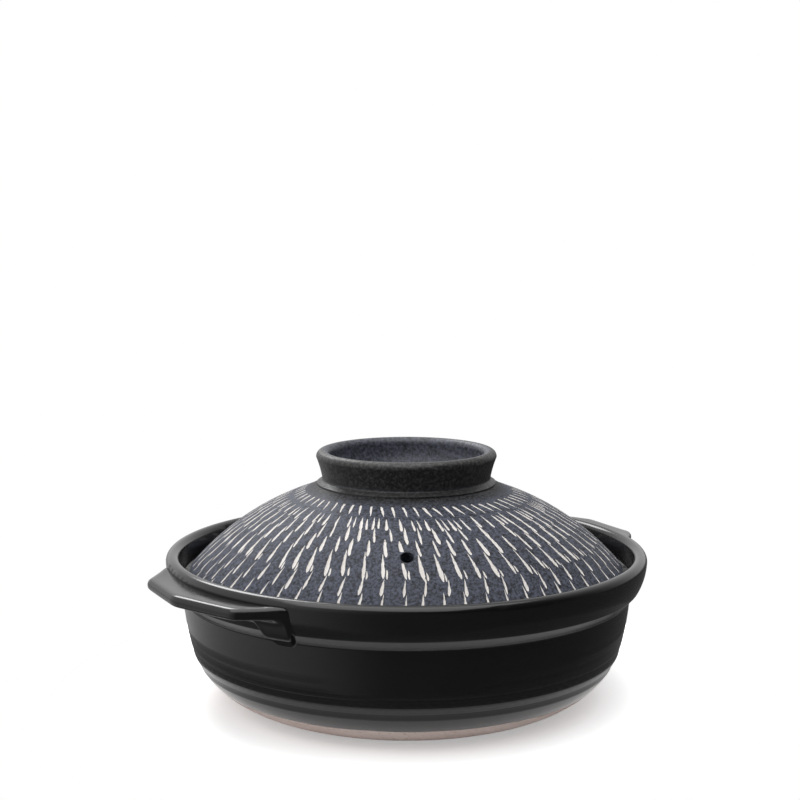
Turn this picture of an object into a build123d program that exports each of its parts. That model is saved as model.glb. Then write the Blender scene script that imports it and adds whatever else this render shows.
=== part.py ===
from build123d import *
import math
import os

# Donabe: a round earthenware pot with two luted lug handles and a domed lid that lifts off.
# The origin is the centre of the base, on the table. Z is up and X runs through both handles.

# Pot, in section
rim_radius = 135.0  # outside of the lip
pot_height = 82.6  # table to the top of the lip
lip_thickness = 7.7
lip_lean = 0.9  # how far the inside of the lip leans in, down to the gutter
wall = 8.0
floor_thickness = 9.0
floor_round = 12.0
foot_inset = 48.5  # where the belly leaves the table, in from the lip
recess_inset = 16.5  # edge of the recess under the base, in from the foot
recess_slope = 4.0
recess_depth = 1.5
belly_inset = 18.6  # top of the round belly, in from the lip
belly_height_share = 0.2421  # of the pot's height
belly_bow = 3.6
body_inset = 13.0  # bottom of the steep body, in from the lip
body_height_share = 0.4116
body_bow = 0.5
waist_inset = 9.1  # top of the body, under the band, in from the lip
band_height = 18.3  # lip top down to the band's lower edge
band_inset = 4.0  # lower edge of the band, in from the lip
band_bow = 0.9
band_undercut = 5.6  # height of the slope under the band
band_round = 1.6
undercut_round = 2.5
ledge_drop = 14.6  # lip top down to the ledge that carries the lid
ledge_lap = 1.5  # how far the ledge reaches in past the lid's seat
ledge_thickness = 6.0
ledge_bevel = 7.0
ledge_round = 2.0
bevel_round = 7.0
gutter_width = 5.7  # between the lid's edge and the inside of the lip
gutter_round = 3.0
# Soft throwing ridges from belly to body, as shares of the way across and up
ridge_shares = ((0.19, 0.18), (0.50, 0.39), (0.72, 0.57), (0.82, 0.78))

# Lug handles
lug_tip_reach = 18.6  # soft middle corner of the lug beyond the lip, before it is rounded
lug_corner_reach = 15.4
lug_corner_angle = 15.65
lug_root_angle = 25.8  # where the lug's sides meet the wall
lug_tip_round = 15.0
lug_corner_round = 8.0
lug_root_round = 5.0
lug_thickness = 6.4
lug_edge_round = 2.8
lug_drop = 3.5  # lip top down to the lug's outer edge
lug_sink = 12.0  # how far the lug runs into the wall before it is trimmed to it
lug_taper = 10.6  # sunk end of the lug narrower than its root, on each side
lug_dish = 2.8  # sunk end of the lug below its outer edge
lug_upturn = 5.0  # climb of the sunk end from its middle to its sides
lug_sag = 0.7  # fall of the lug's outer edge from its middle to its sides
lug_margin = 2.6  # slab beyond the lug's sides, before the plan is cut
web_inset = 0.3
web_toe = 2.0  # foot of the web below the band's slope
web_knee_stand = 2.6  # knee of the web out from the band's lower edge
web_knee_drop = 20.6  # lip top down to the knee
web_knee_round = 2.5
web_top_stand = 1.6  # top of the web out from the lip
web_top_drop = 10.2
web_top_round = 3.0
gap_angle = 19.5  # half angle of the finger gap at the web's toe
gap_draft = 32.0
web_gap_round = 2.0
web_side_round = 1.0
root_bead = 3.0
root_bow = 0.6

# Lid, in section
lid_seat_gap = 0.3  # between the lid and its ledge
lid_edge_height = 4.8
lid_edge_round = 1.6
lid_thickness = 6.5
lid_seat_width = 6.6
dome_rise = 47.6  # underside of the lid up to the top of the dome
dome_bow = 5.2
dome_flare = 6.8  # top of the dome out from the knob's foot
dome_flare_round = 9.0
crown_rise = 3.4  # flat crown above the top of the dome
crown_round = 1.5
vent_radius = 3.2
vent_inset = 27.6  # vent in from the lid's edge
vent_angle = 230.5
vent_round = 0.5

# Ring knob, in section
knob_rim_radius = 50.8
knob_rim_thickness = 7.2
knob_rise = 19.1
knob_foot_inset = 0.4  # foot of the knob in from its rim
knob_foot_width = 13.4
knob_foot_stand = 0.3  # crown of the lid beyond the foot of the knob
knob_waist_inset = 3.5
knob_waist_height = 3.0
knob_waist_round = 1.2
knob_bead = 0.9
knob_flank_bow = -0.35
knob_inner_bow = 1.8

overrun = 20.0  # how far a cut runs past what it cuts

lip_height = pot_height - lip_thickness / 2
lip_middle_radius = rim_radius - lip_thickness / 2
lip_inner_radius = rim_radius - lip_thickness
foot = (rim_radius - foot_inset, 0)
belly = (rim_radius - belly_inset, pot_height * belly_height_share)
body = (rim_radius - body_inset, pot_height * body_height_share)
band_low = (rim_radius - band_inset, pot_height - band_height)
waist = (rim_radius - waist_inset, band_low[1] - band_undercut)
ledge_height = pot_height - ledge_drop
lug_root = (
    rim_radius * math.cos(math.radians(lug_root_angle)),
    rim_radius * math.sin(math.radians(lug_root_angle)),
)
lug_tip_radius = rim_radius + lug_tip_reach
lug_underside = pot_height - lug_drop - lug_dish / 2 - lug_thickness
lid_low = ledge_height + lid_seat_gap
lid_radius = lip_inner_radius - gutter_width
lid_edge = (lid_radius, lid_low + lid_edge_height)
seat_radius = lid_radius - lid_seat_width
knob_foot_radius = knob_rim_radius - knob_foot_inset
dome_top = (knob_foot_radius + dome_flare, lid_low + dome_rise)
crown_height = dome_top[1] + crown_rise


def rightward(start, end):
    """Unit vector to the right of the way from start to end."""
    return (Vector(*end) - Vector(*start)).normalized().rotate(Axis.Z, -90)


def bowed(start, end, bow):
    """Arc from start to end that swells by bow to the right of its chord."""
    middle = (Vector(*start) + Vector(*end)) * 0.5
    return ThreePointArc(start, middle + rightward(start, end) * bow, end)


def circle_of(start, end, bow):
    """Centre and radius of the arc that bowed draws."""
    half = (Vector(*end) - Vector(*start)).length / 2
    radius = (half**2 + bow**2) / (2 * bow)
    middle = (Vector(*start) + Vector(*end)) * 0.5
    return middle - rightward(start, end) * (radius - bow), radius


def around(start, end, centre):
    """Arc from start to end about centre."""
    spoke = (start + end) * 0.5 - centre
    return ThreePointArc(start, centre + spoke.normalized() * (start - centre).length, end)


def at_height(centre, radius, height):
    return Vector(centre.X + math.sqrt(radius**2 - (height - centre.Y) ** 2), height)


def at_radius(centre, radius, place):
    return Vector(place, centre.Y + math.sqrt(radius**2 - (place - centre.X) ** 2))


def inward(point, centre, depth):
    """The point moved by depth towards the centre of its arc."""
    spoke = Vector(*point) - centre
    return centre + spoke * (1 - depth / spoke.length)


def between(start, end, shares):
    """Points at the given shares of the way from start to end."""
    return [
        (start[0] + (end[0] - start[0]) * across, start[1] + (end[1] - start[1]) * up)
        for across, up in shares
    ]


def soften(face, corner, radius):
    """Round the corner of a section that lies nearest to the given point."""
    return fillet(face.vertices().sort_by_distance(Vector(*corner))[0], radius)


def spun(face):
    """Turn a section, drawn as radius and height, into a round solid."""
    return revolve(Plane.XZ * face, Axis.Z)


def pot_outside():
    """Section of the pot without its hollow, up to the full round of the lip."""
    belly_arc = bowed(foot, belly, belly_bow)
    body_arc = bowed(body, waist, body_bow)
    ridges = Spline(
        belly,
        *between(belly, body, ridge_shares),
        body,
        tangents=(belly_arc % 1, body_arc % 0),
    )
    band_arc = bowed(band_low, (rim_radius, lip_height), band_bow)
    lip = ThreePointArc(
        (rim_radius, lip_height),
        (lip_middle_radius, pot_height),
        (lip_inner_radius, lip_height),
    )
    top = Polyline((lip_inner_radius, lip_height), (0, lip_height), (0, 0), foot)
    face = make_face([belly_arc, ridges, body_arc, Line(waist, band_low), band_arc, lip, top])
    face = soften(face, band_low, band_round)
    return soften(face, waist, undercut_round)


def pot_hollow():
    """Section of the space inside the pot, with the gutter and the ledge for the lid."""
    belly_centre, belly_arc_radius = circle_of(foot, belly, belly_bow)
    body_centre, body_arc_radius = circle_of(body, waist, body_bow)
    floor_edge = at_height(belly_centre, belly_arc_radius - wall, floor_thickness)
    inner_belly = around(floor_edge, inward(belly, belly_centre, wall), belly_centre)
    bevel_foot = at_height(
        body_centre, body_arc_radius - wall, ledge_height - ledge_thickness - ledge_bevel
    )
    inner_body = around(inward(body, body_centre, wall), bevel_foot, body_centre)
    turn = Spline(inner_belly @ 1, inner_body @ 0, tangents=(inner_belly % 1, inner_body % 0))
    nose = (seat_radius - ledge_lap, ledge_height)
    nose_low = (nose[0], ledge_height - ledge_thickness)
    gutter = (lip_inner_radius - lip_lean, ledge_height)
    above = pot_height + overrun
    rest = Polyline(
        bevel_foot,
        nose_low,
        nose,
        gutter,
        (lip_inner_radius, lip_height),
        (lip_inner_radius, above),
        (0, above),
        (0, floor_thickness),
        floor_edge,
    )
    face = make_face([inner_belly, turn, inner_body, rest])
    face = soften(face, gutter, gutter_round)
    face = soften(face, nose, ledge_round)
    face = soften(face, nose_low, ledge_round)
    face = soften(face, bevel_foot, bevel_round)
    return soften(face, floor_edge, floor_round)


def pot_recess():
    """Section of the shallow hollow under the base."""
    edge = foot[0] - recess_inset
    return make_face(
        Polyline(
            (0, -overrun),
            (edge, -overrun),
            (edge, 0),
            (edge - recess_slope, recess_depth),
            (0, recess_depth),
            close=True,
        )
    )


def pot_bowl():
    return spun(pot_outside()) - spun(pot_hollow()) - spun(pot_recess())


def lug_plan():
    """Outline of a lug from above, run on into the wall."""
    angle = math.radians(lug_corner_angle)
    reach = rim_radius + lug_corner_reach
    corner = (reach * math.cos(angle), reach * math.sin(angle))
    inner = (lug_root[0] - lug_sink, lug_root[1] - lug_taper)
    tip = (lug_tip_radius, 0)
    half = [inner, lug_root, corner]
    mirrored = [(across, -along) for across, along in reversed(half)]
    face = make_face(Polyline(*half, tip, *mirrored, close=True))
    for point, radius in zip(half[1:], (lug_root_round, lug_corner_round)):
        face = soften(face, point, radius)
        face = soften(face, (point[0], -point[1]), radius)
    return soften(face, tip, lug_tip_round)


def lug_section(place, middle, climb, depth):
    """Upright slice across the lug: curved up at both ends, top and underside alike."""
    half = lug_root[1] + lug_margin
    top = ThreePointArc((-half, middle + climb), (0, middle), (half, middle + climb))
    under = ThreePointArc(
        (half, middle + climb - depth), (0, middle - depth), (-half, middle + climb - depth)
    )
    face = make_face([top, Line(top @ 1, under @ 0), under, Line(under @ 1, top @ 0)])
    return Plane(origin=(place, 0, 0), x_dir=(0, 1, 0), z_dir=(1, 0, 0)) * face


def lug_slab(top_drop, depth):
    """Wide slab that dips to the wall and climbs at its ends, from top_drop below the lug's top."""
    edge = pot_height - lug_drop - top_drop
    inner = lug_section(lug_root[0] - lug_sink, edge - lug_dish, lug_upturn, depth)
    outer = lug_section(lug_tip_radius, edge, -lug_sag, depth)
    return loft([inner, outer], ruled=True)


def lug_plate():
    """The flat grip of a lug, with its outer edges rounded."""
    plate = lug_slab(0, lug_thickness) & extrude(lug_plan(), pot_height + overrun)
    edges = plate.edges() - plate.edges().filter_by(Axis.Z)
    free = [edge for edge in edges if edge.center().X > lug_root[0] - lug_sink / 2]
    return fillet(free, lug_edge_round)


def web_outside():
    """Section of the free space beyond the webs, under the lug."""
    toe = (waist[0], waist[1] - web_toe)
    knee = (band_low[0] + web_knee_stand, pot_height - web_knee_drop)
    top = (rim_radius + web_top_stand, pot_height - web_top_drop)
    far = lug_tip_radius + overrun
    near = waist[0] - wall
    low = waist[1] - overrun
    outline = Polyline(
        (near, toe[1]), toe, knee, top, (far, top[1]), (far, low), (near, low), close=True
    )
    face = make_face(outline)
    face = soften(face, knee, web_knee_round)
    return soften(face, top, web_top_round)


def finger_gap():
    """Space between the two webs of a lug, with a small bead left along the plate's root."""
    reach = lug_tip_radius + overrun
    angle = math.radians(gap_angle)
    near = lug_root[0] - overrun
    plan = Polyline(
        (near, -near * math.tan(angle)),
        (reach, -reach * math.tan(angle)),
        (reach, reach * math.tan(angle)),
        (near, near * math.tan(angle)),
        close=True,
    )
    low = waist[1] - web_toe
    prism = Pos(0, 0, low) * extrude(make_face(plan), pot_height - low, taper=gap_draft)
    band = circle_of(band_low, (rim_radius, lip_height), band_bow)
    bead_foot = at_height(*band, lug_underside - root_bead)
    bead_top = at_height(*band, lug_underside) + Vector(root_bead, 0)
    far = reach + overrun
    rest = Polyline(
        bead_top,
        (bead_top.X, pot_height),
        (far, pot_height),
        (far, low - overrun),
        (near, low - overrun),
        (near, bead_foot.Y),
        bead_foot,
    )
    return prism & spun(make_face([bowed(bead_foot, bead_top, root_bow), rest]))


def web_corners(web, nearest, farthest):
    """Outer edges that run up the webs, between two angles from the lug's middle."""
    chosen = []
    for edge in web.edges() - web.edges().filter_by(GeomType.CIRCLE):
        place = edge.center()
        free = math.hypot(place.X, place.Y) > waist[0]
        upright = waist[1] - web_toe < place.Z < lug_underside - root_bead
        turn = math.degrees(math.atan2(abs(place.Y), place.X))
        if free and upright and nearest < turn < farthest:
            chosen.append(edge)
    return chosen


def webs():
    """The two upright webs that carry a lug, one on each side of the finger gap."""
    plan = offset(lug_plan(), -web_inset)
    web = lug_slab(lug_thickness / 2, band_height + band_undercut) & extrude(plan, pot_height)
    web = web - spun(web_outside()) - finger_gap()
    middle = (gap_angle + lug_root_angle) / 2
    web = fillet(web_corners(web, 0, middle), web_gap_round)
    return fillet(web_corners(web, middle, lug_root_angle), web_side_round)


def lug():
    """One lug handle on the +X side, trimmed to the outside of the pot."""
    lip_middle = Pos(0, 0, lip_height) * make_face(CenterArc((0, 0), lip_middle_radius, 0, 360))
    mouth = extrude(lip_middle, overrun)
    return lug_plate() + webs() - (spun(pot_outside()) + mouth)


def lid_section():
    """Half of the lid in section, from the flat crown to the edge that sits on the ledge."""
    centre, radius = circle_of(lid_edge, dome_top, dome_bow)
    crown = (knob_foot_radius + knob_foot_stand, crown_height)
    inner_radius = radius - lid_thickness
    seat = at_radius(centre, inner_radius, seat_radius)
    ceiling = at_height(centre, inner_radius, crown_height - lid_thickness)
    outer_arc = bowed(lid_edge, dome_top, dome_bow)
    inner_arc = around(ceiling, seat, centre)
    crown_line = Polyline(dome_top, crown, (0, crown_height), (0, ceiling.Y), ceiling)
    edge_line = Polyline(seat, (seat.X, lid_low), (lid_radius, lid_low), lid_edge)
    face = make_face([outer_arc, crown_line, inner_arc, edge_line])
    face = soften(face, lid_edge, lid_edge_round)
    face = soften(face, (lid_radius, lid_low), lid_edge_round)
    face = soften(face, crown, crown_round)
    return soften(face, dome_top, dome_flare_round)


def vent():
    """Steam vent, pierced square to the dome."""
    centre, radius = circle_of(lid_edge, dome_top, dome_bow)
    place = at_radius(centre, radius, lid_radius - vent_inset)
    spoke = place - centre
    hole = Plane(origin=(place.X, 0, place.Y), z_dir=(spoke.X, 0, spoke.Y)) * Cylinder(
        vent_radius, lid_thickness + overrun
    )
    return Rot(0, 0, vent_angle) * hole


def lid_dome():
    hole = vent()
    dome = spun(lid_section()) - hole
    mouth = dome.edges().sort_by_distance(hole.center())
    mouth = [edge for edge in mouth if edge.length < 3 * math.pi * vent_radius][:2]
    return fillet(mouth, vent_round)


def knob_section():
    """Half of the hollow ring knob in section."""
    rim_height = crown_height + knob_rise - knob_rim_thickness / 2
    rim_inner_radius = knob_rim_radius - knob_rim_thickness
    waist_point = (knob_rim_radius - knob_waist_inset, crown_height + knob_waist_height)
    flank = bowed(waist_point, (knob_rim_radius, rim_height), knob_flank_bow)
    rim = ThreePointArc(
        (knob_rim_radius, rim_height),
        (knob_rim_radius - knob_rim_thickness / 2, crown_height + knob_rise),
        (rim_inner_radius, rim_height),
    )
    inner_foot = (knob_foot_radius - knob_foot_width, crown_height)
    inside = bowed(inner_foot, (rim_inner_radius, rim_height), knob_inner_bow)
    foot_line = Polyline(
        inner_foot,
        (knob_foot_radius, crown_height),
        (knob_foot_radius, crown_height + knob_bead),
        waist_point,
    )
    face = make_face([foot_line, flank, rim, inside])
    return soften(face, waist_point, knob_waist_round)


def lid_knob():
    return spun(knob_section())


parts = {
    "pot_bowl": pot_bowl(),
    "handle_right": lug(),
    "handle_left": Rot(0, 0, 180) * lug(),
    "lid_dome": lid_dome(),
    "lid_knob": lid_knob(),
}

os.makedirs("parts", exist_ok=True)
for node, shape in parts.items():
    export_step(shape, f"parts/{node}.step")
    print(node, len(shape.solids()), "solid", round(shape.volume), "mm3")
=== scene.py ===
import math
import random

import bpy
import numpy as np
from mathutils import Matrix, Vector
from mathutils.geometry import delaunay_2d_cdt


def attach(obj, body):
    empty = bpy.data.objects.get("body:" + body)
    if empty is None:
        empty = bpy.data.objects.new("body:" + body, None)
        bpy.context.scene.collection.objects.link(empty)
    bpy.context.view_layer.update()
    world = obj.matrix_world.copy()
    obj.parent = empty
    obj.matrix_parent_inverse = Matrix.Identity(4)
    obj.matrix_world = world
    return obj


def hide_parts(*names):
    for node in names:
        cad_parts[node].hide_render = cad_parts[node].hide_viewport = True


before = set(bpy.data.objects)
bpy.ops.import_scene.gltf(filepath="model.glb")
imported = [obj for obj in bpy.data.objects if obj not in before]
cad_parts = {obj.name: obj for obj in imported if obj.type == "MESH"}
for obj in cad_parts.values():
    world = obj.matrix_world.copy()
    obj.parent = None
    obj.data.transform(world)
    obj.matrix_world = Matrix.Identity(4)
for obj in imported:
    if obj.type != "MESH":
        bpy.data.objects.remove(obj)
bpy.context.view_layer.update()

MM = 0.001
photo_azimuth = 230.5  # degrees round the pot at which the photograph was taken, and at which the vent lies
photo_turn = math.radians(photo_azimuth)


# Materials

class Nodes:
    """A short way to write a material's nodes."""

    def __init__(self, name):
        self.material = bpy.data.materials.new(name)
        self.material.use_nodes = True
        self.tree = self.material.node_tree
        self.tree.nodes.clear()
        self.out = self.add("ShaderNodeOutputMaterial")
        self.shader = self.add("ShaderNodeBsdfPrincipled")
        self.link(self.shader.outputs["BSDF"], self.out.inputs["Surface"])
        self.place = self.add("ShaderNodeTexCoord").outputs["Object"]

    def add(self, kind, **settings):
        node = self.tree.nodes.new(kind)
        for key, value in settings.items():
            setattr(node, key, value)
        return node

    def link(self, source, target):
        self.tree.links.new(source, target)

    def feed(self, socket, value):
        if isinstance(value, bpy.types.NodeSocket):
            self.link(value, socket)
        else:
            socket.default_value = value

    def math(self, operation, first, second=0.0, clamp=False):
        node = self.add("ShaderNodeMath", operation=operation, use_clamp=clamp)
        self.feed(node.inputs[0], first)
        self.feed(node.inputs[1], second)
        return node.outputs[0]

    def ramp(self, value, low, high, out_low=0.0, out_high=1.0, smooth=False):
        """The value, mapped from low..high to out_low..out_high and held there outside."""
        node = self.add("ShaderNodeMapRange", interpolation_type="SMOOTHSTEP" if smooth else "LINEAR")
        for socket, given in zip(node.inputs, (value, low, high, out_low, out_high)):
            self.feed(socket, given)
        return node.outputs[0]

    def noise(self, size, detail=2.0, roughness=0.5, stretch=(1, 1, 1), seed=0.0):
        """Noise with lumps of about the given size in metres."""
        mapping = self.add("ShaderNodeMapping")
        self.link(self.place, mapping.inputs["Vector"])
        mapping.inputs["Location"].default_value = (seed, seed * 0.37, -seed * 0.61)
        mapping.inputs["Scale"].default_value = stretch
        node = self.add("ShaderNodeTexNoise")
        self.link(mapping.outputs[0], node.inputs["Vector"])
        node.inputs["Scale"].default_value = 0.5 / size
        node.inputs["Detail"].default_value = detail
        node.inputs["Roughness"].default_value = roughness
        return node.outputs["Fac"]

    def base(self, colour=None):
        """The colour that now feeds the shader, or a new one put in its place."""
        socket = self.shader.inputs["Base Color"]
        if colour is None:
            return socket.links[0].from_socket
        self.link(colour, socket)

    def mix(self, factor, first, second):
        node = self.add("ShaderNodeMix", data_type="RGBA")
        self.feed(node.inputs["Factor"], factor)
        self.feed(node.inputs[6], first)
        self.feed(node.inputs[7], second)
        return node.outputs[2]

    def bump(self, height, distance, strength=1.0, onto=None):
        node = self.add("ShaderNodeBump")
        node.inputs["Distance"].default_value = distance
        node.inputs["Strength"].default_value = strength
        self.link(height, node.inputs["Height"])
        if onto is not None:
            self.link(onto, node.inputs["Normal"])
        return node.outputs[0]

    def axes(self):
        split = self.add("ShaderNodeSeparateXYZ")
        self.link(self.place, split.inputs[0])
        return split.outputs

    def radius(self):
        x, y, _ = self.axes()
        squares = self.math("ADD", self.math("MULTIPLY", x, x), self.math("MULTIPLY", y, y))
        return self.math("SQRT", squares)


def grey(value, tint=(1, 1, 1)):
    return (value * tint[0], value * tint[1], value * tint[2], 1)


# How far the throwing ridges stand off the body's even curve, in millimetres, at heights on the pot
ridge_low, ridge_span, ridge_deep = 20.0, 40.0, 4.0
ridge_line = (
    (20.0, -0.3), (21.0, -0.3), (23.4, -0.60), (24.2, -0.60), (27.4, -0.25), (28.2, -0.28), (31.4, -0.88),
    (32.2, -1.00), (35.0, -1.35), (38.6, -2.00), (43.0, -2.50), (46.0, -2.85), (52.0, -3.3), (60.0, -3.5),
)
glaze_line = 0.0114  # height at which the glaze ends


def pot_material():
    n = Nodes("pot_glaze")
    z = n.axes()[2]
    radius = n.radius()
    broad = n.noise(0.030, 3, 0.5)
    fine = n.noise(0.0011, 2, 0.6, seed=3.0)
    # Bare clay under the glaze line, on the outside and the base only
    wave = n.math("ADD", n.math("MULTIPLY", n.noise(0.018, 2, 0.5, (1, 1, 0.01), seed=5.0), 0.0016),
                  n.math("MULTIPLY", n.noise(0.0035, 2, 0.5, (1, 1, 0.3), seed=6.0), 0.0005))
    line = n.math("ADD", wave, glaze_line)
    below = n.ramp(n.math("SUBTRACT", line, z), -0.00012, 0.00012)
    outside = n.math("MAXIMUM", n.ramp(radius, 0.1008, 0.1013), n.ramp(z, 0.0060, 0.0055))
    clay = n.math("MULTIPLY", below, outside)
    black = n.mix(n.ramp(broad, 0.35, 0.65), grey(0.008, (1, 1, 1.03)), grey(0.010, (1, 1, 1.05)))
    black = n.mix(n.ramp(fine, 0.60, 0.74), black, grey(0.013))
    grain = n.noise(0.0009, 3, 0.7, seed=8.0)
    patch = n.noise(0.012, 3, 0.6, seed=9.0)
    pale = n.mix(n.ramp(patch, 0.35, 0.65), (0.84, 0.68, 0.63, 1), (0.90, 0.76, 0.71, 1))
    pale = n.mix(n.ramp(grain, 0.58, 0.72), pale, (0.56, 0.43, 0.37, 1))
    n.base(n.mix(clay, black, pale))
    rough = n.ramp(broad, 0.3, 0.7, 0.15, 0.18)
    rough = n.math("ADD", rough, n.ramp(fine, 0.5, 0.8, 0.0, 0.04))
    node = n.add("ShaderNodeMix", data_type="FLOAT")
    n.link(clay, node.inputs[0])
    n.link(rough, node.inputs[2])
    node.inputs[3].default_value = 0.9
    n.link(node.outputs[0], n.shader.inputs["Roughness"])
    n.shader.inputs["IOR"].default_value = 1.5
    # Throwing ridges, on the outside of the wall only
    ridges = n.add("ShaderNodeValToRGB")
    ridges.color_ramp.interpolation = "B_SPLINE"
    stops = ridges.color_ramp.elements
    for height, _ in ridge_line[1:-1]:
        stops.new((height - ridge_low) / ridge_span)
    for stop, (height, stand) in zip(stops, ridge_line):
        stop.position, stop.color = (height - ridge_low) / ridge_span, grey(1 + stand / ridge_deep)
    n.link(n.ramp(z, ridge_low * MM, (ridge_low + ridge_span) * MM), ridges.inputs[0])
    middle_of_wall = n.ramp(z, 0.020, 0.040, 0.1125, 0.1185)
    thrown = n.bump(ridges.outputs[0], ridge_deep * MM)
    n.link(n.ramp(n.math("SUBTRACT", radius, middle_of_wall), 0.0, 0.0005), thrown.node.inputs["Strength"])
    edge = n.bump(below, 0.00018, 1.0, thrown)
    rings = n.bump(n.noise(0.0034, 2, 0.45, (0.02, 0.02, 1), seed=11.0), 0.00006, 1.0, edge)
    skin = n.bump(n.noise(0.0100, 2, 0.4, seed=12.0), 0.00004, 1.0, rings)
    n.link(n.bump(n.math("MULTIPLY", grain, clay), 0.00025, 1.0, skin), n.shader.inputs["Normal"])
    return n.material


def speckled(name, dark, light, spot, rough, spots=(0.56, 0.70), grain_size=0.0009):
    """Matte iron glaze with a fine two-tone grain."""
    n = Nodes(name)
    broad = n.noise(0.022, 3, 0.5)
    grain = n.noise(grain_size, 2, 0.65, seed=3.0)
    other = n.noise(grain_size * 1.7, 2, 0.6, seed=7.0)
    base = n.mix(n.ramp(grain, 0.36, 0.64), dark, light)
    base = n.mix(n.ramp(other, spots[0], spots[1]), base, spot)
    n.base(base)
    wear = n.ramp(broad, 0.3, 0.7, rough - 0.04, rough + 0.04)
    n.link(n.math("ADD", wear, n.ramp(grain, 0.4, 0.7, -0.05, 0.05)), n.shader.inputs["Roughness"])
    n.link(n.bump(grain, 0.00010), n.shader.inputs["Normal"])
    return n


def fine_spots(n, size, roughness, low, high, dark, light):
    """A dark colour with lighter grains of the given size in it."""
    return n.mix(n.ramp(n.noise(size, 2, roughness, seed=3.0), low, high), dark, light)


def lid_material():
    """Blue-grey, and darker on the slope round the knob's foot, which is painted shade."""
    n = speckled("lid_glaze", grey(0.026, (0.90, 0.96, 1.24)), grey(0.120, (0.86, 0.95, 1.28)),
                 grey(0.014, (0.95, 0.98, 1.15)), 0.60, grain_size=0.00075)
    n.shader.inputs["Specular IOR Level"].default_value = 0.22
    radius = n.radius()
    # Painted shade: a dark ring on the crease round the knob's foot, where the lid meets the knob
    crown = n.math("MULTIPLY", n.ramp(radius, 0.0590, 0.0515, smooth=True),
                   n.ramp(radius, 0.0440, 0.0470, smooth=True))
    deep = fine_spots(n, 0.0007, 0.65, 0.40, 0.62, grey(0.010), grey(0.055, (0.96, 0.98, 1.08)))
    n.base(n.mix(crown, n.base(), deep))
    return n.material


def knob_material():
    """Near black outside, and paler over the rim and inside, where the glaze is thicker. The foot is darker
    still, as painted shade.
    """
    n = speckled("knob_glaze", grey(0.034, (0.95, 1.0, 1.28)), grey(0.110, (0.93, 0.98, 1.26)),
                 grey(0.018, (1, 1, 1.1)), 0.47)
    inside = n.ramp(n.radius(), 0.0480, 0.0462, smooth=True)
    flank = fine_spots(n, 0.0008, 0.7, 0.44, 0.66, grey(0.007, (1.04, 1, 0.98)), grey(0.060, (1.04, 1, 0.97)))
    # Painted shade: the foot below the waist faces up into the light and is coloured darker than the flank
    foot = fine_spots(n, 0.0008, 0.7, 0.44, 0.66, grey(0.006), grey(0.040, (0.98, 1, 1.06)))
    n.base(n.mix(inside, n.mix(n.ramp(n.axes()[2], 0.1250, 0.1220), flank, foot), n.base()))
    return n.material


def clay_material():
    n = Nodes("cut_clay")
    grain = n.noise(0.0008, 3, 0.7, seed=2.0)
    patch = n.noise(0.006, 2, 0.5, seed=4.0)
    pale = n.mix(n.ramp(patch, 0.3, 0.7), (0.78, 0.74, 0.70, 1), (0.86, 0.83, 0.80, 1))
    n.base(n.mix(n.ramp(grain, 0.60, 0.75), pale, (0.52, 0.45, 0.41, 1)))
    n.shader.inputs["Roughness"].default_value = 0.88
    n.link(n.bump(grain, 0.00020), n.shader.inputs["Normal"])
    return n.material


def put(obj, *materials):
    obj.data.materials.clear()
    for material in materials:
        obj.data.materials.append(material)


pot_glaze, lid_glaze = pot_material(), lid_material()
knob_glaze, cut_clay = knob_material(), clay_material()
for name in ("pot_bowl", "handle_left", "handle_right"):
    put(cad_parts[name], pot_glaze)
put(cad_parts["lid_knob"], knob_glaze)
put(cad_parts["lid_dome"], lid_glaze)


# The carved lid. Sizes here are in millimetres and follow the CAD lid.

def unit(v):
    v = np.asarray(v, float)
    return v / np.hypot(*v)


def arc_points(centre, radius, start, end, step):
    count = max(2, int(abs(end - start) * radius / step) + 1)
    turns = np.linspace(start, end, count)
    return np.stack([centre[0] + radius * np.cos(turns), centre[1] + radius * np.sin(turns)], 1)


def rounded(before, corner, after, radius, count=7):
    """Points of the round that replaces a corner of a profile."""
    corner = np.asarray(corner, float)
    u, v = unit(before - corner), unit(after - corner)
    half = math.acos(float(u @ v)) / 2
    centre = corner + unit(u + v) * radius / math.sin(half)
    first = corner + u * radius / math.tan(half) - centre
    last = corner + v * radius / math.tan(half) - centre
    turn = math.atan2(first[0] * last[1] - first[1] * last[0], float(first @ last))
    points = []
    for share in np.linspace(0, 1, count):
        c, s = math.cos(turn * share), math.sin(turn * share)
        points.append(centre + (first[0] * c - first[1] * s, first[0] * s + first[1] * c))
    return np.array(points)


class Profile:
    """A line of radius and height, measured along its length, with its outward side on the left."""

    def __init__(self, points, start=0.0):
        self.points = np.asarray(points, float)
        steps = np.hypot(*np.diff(self.points, axis=0).T)
        self.length = start + np.concatenate([[0], np.cumsum(steps)])
        way = np.gradient(self.points, self.length, axis=0)
        way /= np.hypot(way[:, 0], way[:, 1])[:, None]
        self.normals = np.stack([-way[:, 1], way[:, 0]], 1)

    def at(self, s):
        return np.interp(s, self.length, self.points[:, 0]), np.interp(s, self.length, self.points[:, 1])

    def normal(self, s):
        return (np.interp(s, self.length, self.normals[:, 0]), np.interp(s, self.length, self.normals[:, 1]))


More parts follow.
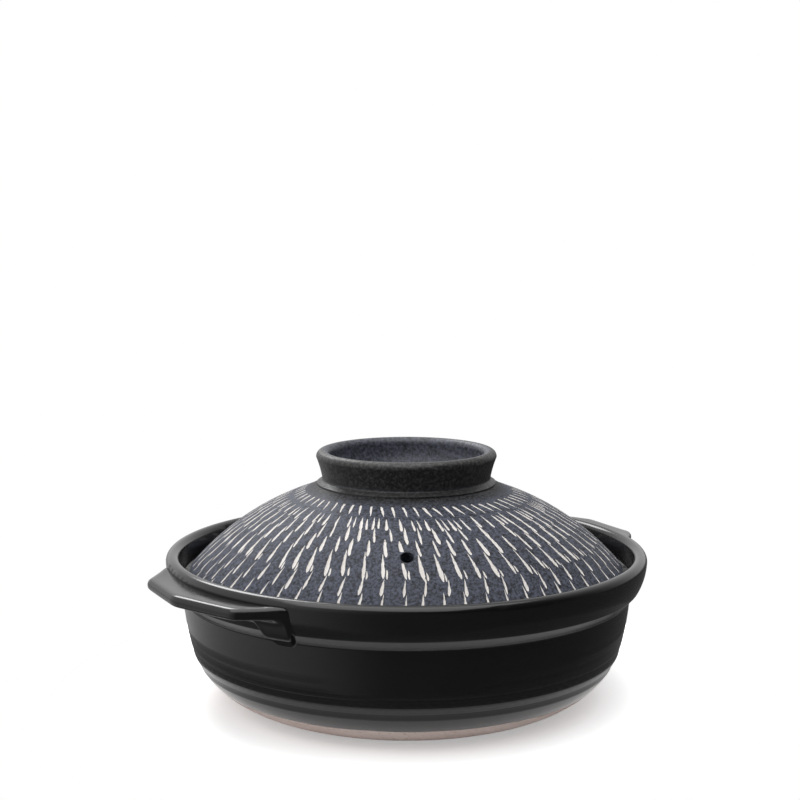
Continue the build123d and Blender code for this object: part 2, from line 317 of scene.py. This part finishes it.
class Shell:
    """Collects the faces of one mesh, each with its corner normals and its material."""

    def __init__(self):
        self.verts, self.faces, self.normals, self.kinds = [], [], [], []

    def vert(self, point):
        self.verts.append(point)
        return len(self.verts) - 1

    def face(self, corners, normals, kind=0, faceted=False):
        """Add a face that looks the way its corner normals point. A faceted one is shaded flat."""
        keep = [i for i in range(len(corners)) if corners[i] != corners[i - 1]]
        corners, normals = [corners[i] for i in keep], [normals[i] for i in keep]
        at = [Vector(self.verts[c]) for c in corners]
        facing = (at[1] - at[0]).cross(at[2] - at[0]) + (at[-2] - at[-1]).cross(at[0] - at[-1]) * -1
        if facing.dot(Vector(normals[0]) + Vector(normals[-1])) < 0:
            corners, normals, facing = corners[::-1], normals[::-1], -facing
        self.faces.append(corners)
        self.normals.extend([tuple(facing.normalized())] * len(corners) if faceted else normals)
        self.kinds.append(kind)

    def build(self, name, *materials):
        mesh = bpy.data.meshes.new(name)
        mesh.from_pydata([Vector(p) * MM for p in self.verts], [], self.faces)
        for material in materials:
            mesh.materials.append(material)
        mesh.polygons.foreach_set("use_smooth", [True] * len(self.faces))
        mesh.polygons.foreach_set("material_index", self.kinds)
        mesh.normals_split_custom_set(self.normals)
        mesh.update()
        obj = bpy.data.objects.new(name, mesh)
        bpy.context.collection.objects.link(obj)
        return obj


def turned(radius, height, angle):
    return (radius * math.cos(angle), radius * math.sin(angle), height)


columns = 180
seam = math.radians(50.5)
turn_step = 2 * math.pi / columns
flat_scale = 90.0  # length across of one radian in the flat plan that is cut into triangles

lid_edge, dome_top, dome_bow = np.array((121.6, 73.1)), np.array((57.2, 115.9)), 5.2
half_chord = np.hypot(*(dome_top - lid_edge)) / 2
dome_radius = (half_chord**2 + dome_bow**2) / (2 * dome_bow)
along = unit(dome_top - lid_edge)
dome_centre = (lid_edge + dome_top) / 2 - np.array((along[1], -along[0])) * (dome_radius - dome_bow)
lid_low, seat_radius, lid_thickness, crown_height = 68.3, 115.0, 6.5, 119.3
crown_edge = np.array((50.7, crown_height))
edge_radius, seat_bevel = 1.6, 0.4
cone_start_s, dome_start_s = 6.06, 7.8  # lengths down the lid, from the crown's edge
vent_reach, vent_radius, vent_round = 94.0, 3.2, 0.5
vent_mouth, vent_sides = vent_radius + vent_round, 32


def dome_angle(point):
    return math.atan2(point[1] - dome_centre[1], point[0] - dome_centre[0])


top_turn, edge_turn = dome_angle(dome_top), dome_angle(lid_edge)
dome_line = arc_points(dome_centre, dome_radius, top_turn, edge_turn, 0.4)
flare = rounded(crown_edge, dome_top, dome_line[4], 9.0, 9)
edge_round = rounded(dome_line[-4], lid_edge, np.array((lid_edge[0], lid_low)), edge_radius, 6)
body_line = [p for p in dome_line if flare[-1][0] + 0.1 < p[0] < edge_round[0][0] - 0.1]
cone_start = crown_edge + unit(dome_top - crown_edge) * 5.6
cone_line = np.linspace(cone_start, flare[0], 4)
outer = Profile([cone_start, *cone_line[1:], *flare[1:], *body_line, edge_round[0]], cone_start_s)


# Marks of the chattering tool, row by row: top and bottom edge, width, slant to the right, and outline
rows = {
    1: (7.6, 17.5, 1.35, 2.7, ((0, 0.8), (0.06, 1.0), (0.5, 0.95), (0.8, 0.6), (1, 0.12))),
    2: (19.5, 29.5, 1.65, 1.6, ((0, 0.1), (0.2, 0.45), (0.5, 0.8), (0.8, 1.0), (0.95, 0.9), (1, 0.5))),
    3: (27.0, 39.0, 1.70, 1.8, ((0, 0.1), (0.2, 0.5), (0.5, 0.9), (0.75, 1.0), (0.92, 0.7), (1, 0.2))),
    4: (37.0, 48.5, 1.85, 1.9, ((0, 0.2), (0.2, 0.7), (0.6, 1.0), (0.9, 0.9), (1, 0.4))),
    5: (46.5, 64.0, 2.15, 2.4, ((0, 0.08), (0.15, 0.35), (0.4, 0.65), (0.7, 1.0), (0.88, 0.85), (1, 0.2))),
    6: (63.0, 74.0, 1.75, -1.0, ((0, 0.08), (0.3, 0.5), (0.6, 0.95), (0.8, 1.0), (0.95, 0.7), (1, 0.25))),
    7: (71.5, 82.0, 1.50, -0.8, ((0, 0.08), (0.3, 0.55), (0.7, 1.0), (0.95, 0.9), (1, 0.55))),
    8: (81.0, 91.5, 1.50, -0.8, ((0, 0.08), (0.3, 0.55), (0.7, 1.0), (0.95, 0.9), (1, 0.55))),
}
per_turn = 66.4  # marks in one turn of the spiral
spiral_start, last_row = 0.42, max(rows)
first_s, last_s = 7.5, 84.0
seam_gap = 0.5 / 57
second_reach, fifth_reach = 70, 104  # about how far rows 2 and 5 lie from the axis
rng = random.Random(11)


class Mark:
    """One cut, as its left and right edge angle at each distance down the dome."""

    def __init__(self, s, left, right):
        self.s, self.left, self.right = np.array(s), np.array(left), np.array(right)

    def span(self, s):
        return np.interp(s, self.s, self.left), np.interp(s, self.s, self.right)

    def shift(self, angle):
        self.left, self.right = self.left + angle, self.right + angle

    def joined(self, other):
        """This mark and a lower one that runs on from it, as one cut."""
        stations = sorted(set(self.s) | set(other.s))
        left, right = [], []
        for s in stations:
            spans = [m.span(s) for m in (self, other) if m.s[0] <= s <= m.s[-1]]
            left.append(min(a for a, _ in spans))
            right.append(max(b for _, b in spans))
        keep = [0] + [i for i in range(1, len(stations)) if stations[i] - stations[i - 1] > 0.25]
        return Mark([stations[i] for i in keep], [left[i] for i in keep], [right[i] for i in keep])


def cut(angle, top, bottom, width, slant, outline):
    """A mark with a ragged edge, or None where too little of it is left."""
    top, bottom = max(top, first_s), min(bottom, last_s)
    if bottom - top < 2.5:
        return None
    count = max(5, int((bottom - top) / 1.25) + 1)
    shares = np.linspace(0, 1, count)
    stations = top + (bottom - top) * shares
    wander = rng.uniform(-0.25, 0.25)
    left, right = [], []
    for share, s in zip(shares, stations):
        half = width / 2 * np.interp(share, *zip(*outline))
        ragged = min(0.16, half * 0.4)
        middle = slant * (share - 0.5) + wander * math.sin(math.pi * share)
        radius = outer.at(s)[0]
        left.append(angle + (middle - half + rng.uniform(-ragged, ragged)) / radius)
        right.append(angle + (middle + half + rng.uniform(-ragged, ragged)) / radius)
    return Mark(stations, left, right)


def row_value(t, column):
    keys = sorted(rows)
    return float(np.interp(t, keys, [rows[k][column] for k in keys]))


def fits(mark, placed, margin=0.30):
    low, high = mark.left.min() - 0.01, mark.right.max() + 0.01
    for other in placed:
        if other.s[0] > mark.s[-1] + 0.3 or other.s[-1] < mark.s[0] - 0.3:
            continue
        if other.left.min() > high or other.right.max() < low:
            continue
        s = np.arange(max(mark.s[0], other.s[0]) - 0.3, min(mark.s[-1], other.s[-1]) + 0.31, 0.3)
        a, b = mark.span(s), other.span(s)
        gap = margin / outer.at(s)[0]
        if np.any((a[0] - gap < b[1]) & (b[0] - gap < a[1])):
            return False
    return True


vent_height = dome_centre[1] + math.sqrt(dome_radius**2 - (vent_reach - dome_centre[0])**2)
vent_s = dome_start_s + dome_radius * (top_turn - dome_angle((vent_reach, vent_height)))
vent_clearance = 0.4


def clear_of_vent(mark):
    """The mark, cut short where it would run into the vent."""
    s = np.linspace(mark.s[0], mark.s[-1], 60)
    across = np.clip(photo_turn, *mark.span(s)) - photo_turn
    near = np.hypot(across * vent_reach, s - vent_s) < vent_mouth + vent_clearance
    if not near.any():
        return mark
    above, below = s[near][0] - 0.1, s[near][-1] + 0.1
    use = mark.s < above if above - mark.s[0] > mark.s[-1] - below else mark.s > below
    end = above if use[0] else below
    span = mark.span(end)
    middle = (span[0] + span[1]) / 2
    stations = sorted([*mark.s[use], end])
    left = [middle + (mark.span(v)[0] - middle) * (0.5 if v == end else 1) for v in stations]
    right = [middle + (mark.span(v)[1] - middle) * (0.5 if v == end else 1) for v in stations]
    return Mark(stations, left, right) if stations[-1] - stations[0] > 2.5 and len(stations) > 3 else None


def chatter_marks():
    """All marks, set on a spiral that steps out by about a row on each turn."""
    placed = []
    t = spiral_start
    while t < last_row:
        t += 1 / per_turn * rng.uniform(0.90, 1.10)
        row = min(max(round(t), 1), last_row)
        turn = math.radians((t - math.floor(t)) * 360 + photo_azimuth)
        turn = seam + (turn - seam) % (2 * math.pi)
        top = row_value(t, 0) + rng.uniform(-0.9, 0.9)
        bottom = row_value(t, 1) + rng.uniform(-1.1, 1.1)
        if t < 1:
            top = rows[1][0] + rng.uniform(-0.2, 0.2)
            bottom = rows[1][1] - 12.0 * (1 - t) + rng.uniform(-0.6, 0.6)
        width = row_value(t, 2) * rng.uniform(0.72, 1.2)
        slant = row_value(t, 3) * rng.uniform(0.75, 1.25)
        outline = rows[row][4]
        made = [cut(turn, top, bottom, width, slant, outline)]
        if row == 2 and rng.random() < 0.55:
            made.append(cut(turn + rng.uniform(2.6, 3.0) / second_reach, top + rng.uniform(0, 1),
                            bottom - rng.uniform(0, 1.6), width * 0.8, slant, outline))
        if row == 5 and rng.random() < 0.7:
            beside = turn + (slant / 2 + rng.uniform(1.2, 1.7)) / fifth_reach
            made.append(cut(beside, bottom - rng.uniform(4.5, 6.0), bottom + rng.uniform(-1.0, 1.2),
                            1.1, 0.5, rows[4][4]))
        for mark in made:
            if mark is not None:
                mark = clear_of_vent(mark)
            if mark is None:
                continue
            first, last = seam + seam_gap, seam + 2 * math.pi - seam_gap
            low, high = mark.left.min(), mark.right.max()
            if low < first:
                mark.shift(first - low)
            if high > last:
                mark.shift(last - high)
            for move in (0, 0.35, -0.35, 0.7, -0.7, 1.1, -1.1):
                moved = Mark(mark.s, mark.left + move / flat_scale, mark.right + move / flat_scale)
                if moved.left.min() < first or moved.right.max() > last:
                    continue
                if fits(moved, placed):
                    placed.append(moved)
                    break
            else:
                rival = next((m for m in reversed(placed) if not fits(mark, [m])), None)
                if rival is not None and rival.s[0] < mark.s[0] and rival.s[-1] - mark.s[0] < 4:
                    whole = rival.joined(mark)
                    if fits(whole, [m for m in placed if m is not rival]):
                        placed[placed.index(rival)] = whole
    return placed


def cut_depths(mark):
    """The floor of a mark: its edges moved in from the outline, and how deep it lies there."""
    radius = outer.at(mark.s)[0]
    half = (mark.right - mark.left) / 2 * radius
    inset = np.minimum(0.30, half * 0.6)
    left, right = mark.left + inset / radius, mark.right - inset / radius
    s = mark.s.copy()
    s[0] += 0.12
    s[-1] -= 0.12
    middle = (left + right) / 2
    left[[0, -1]] = middle[[0, -1]] + (left - middle)[[0, -1]] * 0.8
    right[[0, -1]] = middle[[0, -1]] + (right - middle)[[0, -1]] * 0.8
    return s, left, right, np.minimum(0.34, half * 0.55)


def sheet(shell, profile, angles, heights, marks, hole, outward, kind=0):
    """A sheet of revolution cut into triangles round its marks and its hole.

    Returns the corners along its two long edges, and those round the hole."""
    plan, depth, loops = [], [], []

    def add(angle, s, down=0.0):
        plan.append(Vector((angle * flat_scale, s)))
        depth.append(down)
        return len(plan) - 1

    ends = {}
    bins = {}
    for mark in marks:
        first = int((mark.left.min() - seam) / turn_step) - 1
        for column in range(first, int((mark.right.max() - seam) / turn_step) + 2):
            bins.setdefault(column, []).append(mark)
    for j, s in enumerate(heights):
        for i, angle in enumerate(angles):
            if 0 < j < len(heights) - 1 and 0 < i < len(angles) - 1:
                radius = profile.at(s)[0]
                if math.hypot((angle - photo_turn) * radius, s - hole[0]) < hole[2] + 0.8:
                    continue
                gap = 0.5 / radius
                if any(m.s[0] - 0.5 < s < m.s[-1] + 0.5 and m.span(s)[0] - gap < angle < m.span(s)[1] + gap
                       for m in bins.get(i, [])):
                    continue
            ends[(i, j)] = add(angle, s)
    for mark in marks:
        loops.append([add(a, s) for a, s in zip(mark.right, mark.s)] +
                     [add(a, s) for a, s in zip(mark.left[::-1], mark.s[::-1])])
        s, left, right, down = cut_depths(mark)
        loops.append([add(a, v, d) for a, v, d in zip(right, s, down)] +
                     [add(a, v, d) for a, v, d in zip(left[::-1], s[::-1], down[::-1])])
    ring = [add(a, s) for a, s in hole[1]]
    loops.append(ring)
    points, _, triangles, from_points, _, from_faces = delaunay_2d_cdt(plan, [], loops, 0, 1e-6, True)
    hole_loop = len(loops) - 1
    index, normal = [], []
    merged = {}
    seam_x = angles[-1] * flat_scale
    for point, sources in zip(points, from_points):
        angle, s = point.x / flat_scale, point.y
        down = depth[sources[0]] if sources else 0.0
        radius, height = profile.at(s)
        nr, nz = profile.normal(s)
        radius, height = radius - nr * down, height - nz * down
        key = round(s, 4)
        at_seam = abs(point.x - seam_x) < 1e-3 or abs(point.x - angles[0] * flat_scale) < 1e-3
        if at_seam and key in merged:
            index.append(merged[key])
        else:
            index.append(shell.vert(turned(radius, height, angles[0] if at_seam else angle)))
            if at_seam:
                merged[key] = index[-1]
        normal.append(tuple(v * outward for v in turned(nr, nz, angle)))
    place = {source: index[i] for i, sources in enumerate(from_points) for source in sources}
    for triangle, inside in zip(triangles, from_faces):
        if hole_loop in inside:
            continue
        wall = bool(inside) and not any(loop % 2 for loop in inside)
        shell.face([index[c] for c in triangle], [normal[c] for c in triangle], 1 if inside else kind, wall)
    last = len(heights) - 1
    first_edge = [place[ends[(i, 0)]] for i in range(len(angles) - 1)]
    last_edge = [place[ends[(i, last)]] for i in range(len(angles) - 1)]
    return first_edge, last_edge, [place[v] for v in ring]


def bands(shell, first_ring, points, last_ring, angles, kinds):
    """Round bands along a line of radius and height, from one ring of corners to another or to the axis."""
    points = np.asarray(points, float)
    ways = np.diff(points, axis=0)
    ways /= np.hypot(ways[:, 0], ways[:, 1])[:, None]
    flat = np.stack([-ways[:, 1], ways[:, 0]], 1)
    count = len(angles) - 1
    ring = first_ring
    for k, normal in enumerate(flat):
        ends = []
        for mate in (k - 1, k + 1):
            other = flat[mate] if 0 <= mate < len(flat) else normal
            ends.append(unit(normal + other) if float(normal @ other) > 0.86 else normal)
        if k + 1 < len(points) - 1:
            following = [shell.vert(turned(*points[k + 1], a)) for a in angles[:-1]]
        else:
            following = last_ring
        for i in range(count):
            j = (i + 1) % count
            a, b = angles[i], angles[i + 1]
            shell.face([ring[i], following[i], following[j], ring[j]],
                       [turned(*ends[0], a), turned(*ends[1], a), turned(*ends[1], b), turned(*ends[0], b)],
                       kinds(points[k], points[k + 1]))
        ring = following


def carved_lid():
    shell = Shell()
    angles = [seam + i * turn_step for i in range(columns + 1)]
    inner_radius = dome_radius - lid_thickness
    seat_height = dome_centre[1] + math.sqrt(inner_radius**2 - (seat_radius - dome_centre[0])**2)
    ceiling_height = crown_height - lid_thickness
    ceiling_radius = dome_centre[0] + math.sqrt(inner_radius**2 - (ceiling_height - dome_centre[1])**2)
    inner_line = arc_points(dome_centre, inner_radius, dome_angle((ceiling_radius, ceiling_height)),
                            dome_angle((seat_radius, seat_height)), 0.4)
    inner = Profile(inner_line)
    ring_turns = [2 * math.pi * i / vent_sides for i in range(vent_sides)]
    vent_angle = top_turn - (vent_s - dome_start_s) / dome_radius
    spoke = np.array((math.cos(vent_angle), math.sin(vent_angle)))
    middle = np.array(turned(*(dome_centre + dome_radius * spoke), photo_turn))
    out = np.array(turned(*spoke, photo_turn))
    side = np.array((-math.sin(photo_turn), math.cos(photo_turn), 0))
    slope = np.cross(side, out)

    spokes = [side * math.cos(turn) + slope * math.sin(turn) for turn in ring_turns]

    def ring_at(radius, depth):
        return [middle - out * depth + away * radius for away in spokes]

    def plan_of(ring, start_turn, radius, start):
        placed = []
        for x, y, z in ring:
            turn = dome_angle((math.hypot(x, y), z))
            placed.append((photo_turn + (math.atan2(y, x) - photo_turn + math.pi) % (2 * math.pi) - math.pi,
                           start + (start_turn - turn) * radius))
        return placed

    top_rows = np.linspace(outer.length[0], outer.length[-1], 31)
    outer_ring = plan_of(ring_at(vent_mouth, 0), top_turn, dome_radius, dome_start_s)
    hole = (vent_s, outer_ring, vent_mouth)
    first, last, mouth = sheet(shell, outer, angles, top_rows, chatter_marks(), hole, 1)
    inner_rows = np.linspace(0, inner.length[-1], 21)
    inner_ring = plan_of(ring_at(vent_mouth, lid_thickness), dome_angle(inner_line[0]), inner_radius, 0)
    hole = (sum(s for _, s in inner_ring) / len(inner_ring), inner_ring, vent_mouth)
    inner_first, inner_last, inner_mouth = sheet(shell, inner, angles, inner_rows, [], hole, -1)
    # The bore, with a small round at both mouths
    levels = []
    for turn in (math.pi / 6, math.pi / 3, math.pi / 2):
        levels.append((vent_mouth - vent_round * math.sin(turn), vent_round * (1 - math.cos(turn))))
    levels += [(radius, lid_thickness - depth) for radius, depth in reversed(levels)]
    ring = mouth
    for level in [*levels, None]:
        following = [shell.vert(tuple(p)) for p in ring_at(*level)] if level else inner_mouth
        for i in range(vent_sides):
            j = (i + 1) % vent_sides
            inward = [tuple(-spokes[v]) for v in (i, i, j, j)]
            shell.face([ring[i], following[i], following[j], ring[j]], inward)
        ring = following

    def bare(a, b):
        """The seat under the edge is left unglazed."""
        return 1 if max(a[1], b[1]) < lid_low + 0.3 else 0

    crown = rounded(np.array((0.0, crown_height)), crown_edge, cone_start, 1.5, 5)
    line = [*((radius, crown_height) for radius in (0.0, 20.0, 36.0, 44.0)), *crown, outer.points[0]]
    bands(shell, [shell.vert((0, 0, crown_height))] * columns, line, first, angles, bare)
    foot_corner, foot_end = np.array((lid_edge[0], lid_low)), np.array((seat_radius, lid_low))
    foot = rounded(lid_edge, foot_corner, foot_end, edge_radius, 6)
    line = [outer.points[-1], *edge_round[1:], *foot, (seat_radius + seat_bevel, lid_low),
            (seat_radius, lid_low + seat_bevel), (seat_radius, seat_height)]
    bands(shell, last, line, inner_last, angles, bare)
    line = [(ceiling_radius, ceiling_height), (30.0, ceiling_height), (0.0, ceiling_height)]
    bands(shell, inner_first, line, [shell.vert((0, 0, ceiling_height))] * columns, angles, bare)
    return shell.build("lid_shell", lid_glaze, cut_clay)


lid_shell = carved_lid()
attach(lid_shell, "lid")
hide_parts("lid_dome")


# The lugs, luted to the wall with soft joints. Sizes here are in millimetres and degrees.

strip_half_turn, strip_heights = 31, (54.0, 78.0)
strip_cover, strip_thickness = 0.6, 3.0
skin_step, smoothings = 0.7, 28


def wall_strip(shell, middle):
    """Closed strip of wall behind a lug, which lies a little inside the wall's face."""
    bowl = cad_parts["pot_bowl"]
    to_bowl = bowl.matrix_world.inverted()
    turns = [middle + math.radians(v) for v in range(-strip_half_turn, strip_half_turn + 1)]
    heights = np.linspace(*strip_heights, 17)
    skins = []
    for under in (strip_cover, strip_cover + strip_thickness):
        grid = []
        for height in heights:
            for turn in turns:
                start, way = Vector(turned(200, height, turn)) * MM, Vector(turned(-1, 0, turn))
                hit = bowl.matrix_world @ bowl.ray_cast(to_bowl @ start, to_bowl.to_3x3() @ way)[1]
                grid.append(shell.vert(turned(math.hypot(hit.x, hit.y) / MM - under, height, turn)))
        skins.append(np.array(grid).reshape(len(heights), len(turns)))
    outside, inside = skins

    def ribbon(a, b, way=1):
        for i in range(len(a) - 1):
            shell.faces.append([int(v) for v in (a[i], a[i + 1], b[i + 1], b[i])][::way])

    for grid, way in ((outside, 1), (inside, -1)):
        for j in range(len(heights) - 1):
            ribbon(grid[j], grid[j + 1], way)
    ribbon(outside[0], inside[0], -1)
    ribbon(inside[-1], outside[-1], -1)
    ribbon(inside[:, 0], outside[:, 0], -1)
    ribbon(outside[:, -1], inside[:, -1], -1)


def soft_lug(node, name, middle):
    """The lug of the CAD part and the strip of wall behind it, made into one skin and smoothed."""
    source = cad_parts[node]
    shell = Shell()
    for vertex in source.data.vertices:
        shell.vert(tuple(source.matrix_world @ vertex.co / MM))
    for polygon in source.data.polygons:
        shell.faces.append(list(polygon.vertices))
    wall_strip(shell, middle)
    mesh = bpy.data.meshes.new(name + "_rough")
    mesh.from_pydata([Vector(p) * MM for p in shell.verts], [], shell.faces)
    rough = bpy.data.objects.new(name + "_rough", mesh)
    bpy.context.collection.objects.link(rough)
    skin = rough.modifiers.new("skin", "REMESH")
    skin.mode, skin.voxel_size = "VOXEL", skin_step * MM
    soft = rough.modifiers.new("soft", "SMOOTH")
    soft.factor, soft.iterations = 0.5, smoothings
    bpy.context.view_layer.update()
    final = bpy.data.meshes.new_from_object(rough.evaluated_get(bpy.context.evaluated_depsgraph_get()))
    bpy.data.objects.remove(rough)
    final.name = name
    final.polygons.foreach_set("use_smooth", [True] * len(final.polygons))
    obj = bpy.data.objects.new(name, final)
    bpy.context.collection.objects.link(obj)
    put(obj, pot_glaze)
    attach(obj, "pot")
    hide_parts(node)


soft_lug("handle_left", "lug_left", math.pi)
soft_lug("handle_right", "lug_right", 0.0)


# Floor, lamps and camera

def stage_material():
    """White to the camera outside the shadow, and dark in gloss away from the pot. Near the pot the camera
    glow is weaker, a painted shadow, and in gloss the floor under the pot glows, a painted reflection.
    """
    n = Nodes("floor_white")
    n.shader.inputs["Roughness"].default_value = 0.9
    path = n.add("ShaderNodeLightPath")
    radius = n.radius()
    far = n.math("MULTIPLY", path.outputs["Is Glossy Ray"], n.ramp(radius, 0.125, 0.160))
    n.base(n.mix(far, grey(0.82), grey(0.12)))
    # Painted shadow: the camera glow falls off towards the pot, darkening the floor round its foot
    white = n.ramp(radius, 0.090, 0.170, 0.38, 1.0, smooth=True)
    shown = n.math("MULTIPLY", path.outputs["Is Camera Ray"], white)
    # Painted reflection: the floor under the pot glows for gloss rays only, so the lower glaze shows a bright
    # floor there
    mirrored = n.math("MULTIPLY", path.outputs["Is Glossy Ray"], n.ramp(radius, 0.138, 0.106, 0.0, 0.60))
    glow = n.add("ShaderNodeEmission")
    n.link(n.math("ADD", shown, mirrored), glow.inputs["Strength"])
    both = n.add("ShaderNodeAddShader")
    n.link(n.shader.outputs["BSDF"], both.inputs[0])
    n.link(glow.outputs[0], both.inputs[1])
    n.link(both.outputs[0], n.out.inputs["Surface"])
    return n.material


def flat_stage(name, corners):
    mesh = bpy.data.meshes.new(name)
    mesh.from_pydata(corners, [], [range(len(corners))])
    mesh.materials.append(stage_material())
    obj = bpy.data.objects.new(name, mesh)
    bpy.context.collection.objects.link(obj)


def softbox(name, place, aim, size, power):
    data = bpy.data.lights.new(name, "AREA")
    data.shape = "SQUARE"
    data.size, data.energy = size, power
    lamp = bpy.data.objects.new(name, data)
    bpy.context.collection.objects.link(lamp)
    lamp.location = place
    lamp.rotation_mode = "QUATERNION"
    lamp.rotation_quaternion = (Vector(aim) - Vector(place)).to_track_quat("-Z", "Y")


# The camera, as it was fitted to the photograph
camera_distance, camera_height, camera_left, camera_pitch = 0.82442, 0.26639, 0.0036, math.radians(6.93)
toward = Vector((-math.cos(photo_turn), -math.sin(photo_turn), 0))
right = Vector((toward.y, -toward.x, 0))
camera_data = bpy.data.cameras.new("camera")
camera_data.sensor_width = 36
camera_data.lens = 66.63
camera_data.clip_start = 0.05
camera = bpy.data.objects.new("camera", camera_data)
bpy.context.collection.objects.link(camera)
camera.location = -toward * camera_distance - right * camera_left + Vector((0, 0, camera_height))
look = toward * math.cos(camera_pitch) - Vector((0, 0, math.sin(camera_pitch)))
camera.rotation_mode = "QUATERNION"
camera.rotation_quaternion = look.to_track_quat("-Z", "Y")
bpy.context.scene.camera = camera

# The world is white to the camera. In gloss it is dark in front of the pot and to its right.
world = bpy.data.worlds.new("studio")
bpy.context.scene.world = world
world.use_nodes = True
tree = world.node_tree
link = tree.links.new
ambient = tree.nodes["Background"]
ambient.inputs["Color"].default_value = (1, 1, 1, 1)
where = tree.nodes.new("ShaderNodeTexCoord").outputs["Generated"]
path = tree.nodes.new("ShaderNodeLightPath")


def level(value, low, high, out_low, out_high):
    node = tree.nodes.new("ShaderNodeMapRange")
    node.interpolation_type = "SMOOTHSTEP"
    for socket, given in zip(node.inputs, (value, low, high, out_low, out_high)):
        if isinstance(given, bpy.types.NodeSocket):
            link(given, socket)
        else:
            socket.default_value = given
    return node.outputs[0]


def larger(first, second):
    node = tree.nodes.new("ShaderNodeMath")
    node.operation = "MAXIMUM"
    link(first, node.inputs[0])
    link(second, node.inputs[1])
    return node.outputs[0]


def nearness(degrees, lift):
    """How far a ray runs the way that lies so many degrees from the camera, to the photograph's right."""
    turn = photo_turn + math.radians(degrees)
    node = tree.nodes.new("ShaderNodeVectorMath")
    node.operation = "DOT_PRODUCT"
    node.inputs[1].default_value = (math.cos(turn), math.sin(turn), lift)
    link(where, node.inputs[0])
    return node.outputs["Value"]


upward = tree.nodes.new("ShaderNodeSeparateXYZ")
link(where, upward.inputs[0])
front, side = nearness(40, 0.05), nearness(75, 0)
under, above = level(side, 0.15, -0.90, 0.09, 0.60), level(front, 0.90, -0.35, 0.0, 0.92)
mirrored = level(upward.outputs["Z"], -0.10, 0.10, under, above)
shed = level(front, 0.95, 0.25, 0.03, 0.45)
seen = larger(path.outputs["Is Glossy Ray"], path.outputs["Is Transmission Ray"])
light = level(seen, 0.0, 1.0, shed, mirrored)
link(larger(light, path.outputs["Is Camera Ray"]), ambient.inputs["Strength"])

softbox("over", -toward * 0.35 - right * 0.10 + Vector((0, 0, 1.4)), (0, 0, 0.05), 1.8, 20)
softbox("back", toward * 0.85 - right * 0.50 + Vector((0, 0, 0.95)), (0, 0, 0.08), 0.5, 5.5)

# A white table top that ends just outside the pot's shadow, and in front just outside the photograph
table_radius, table_front, table_gap, table_sides = 0.20, 0.172, 0.2 * MM, 120
table = []
for i in range(table_sides):
    turn = 2 * math.pi * i / table_sides
    across, deep = table_radius * math.cos(turn), table_radius * math.sin(turn)
    table.append(right * across + toward * max(deep, -table_front) - Vector((0, 0, table_gap)))
flat_stage("floor", table)

bpy.context.scene.view_settings.view_transform = "Standard"
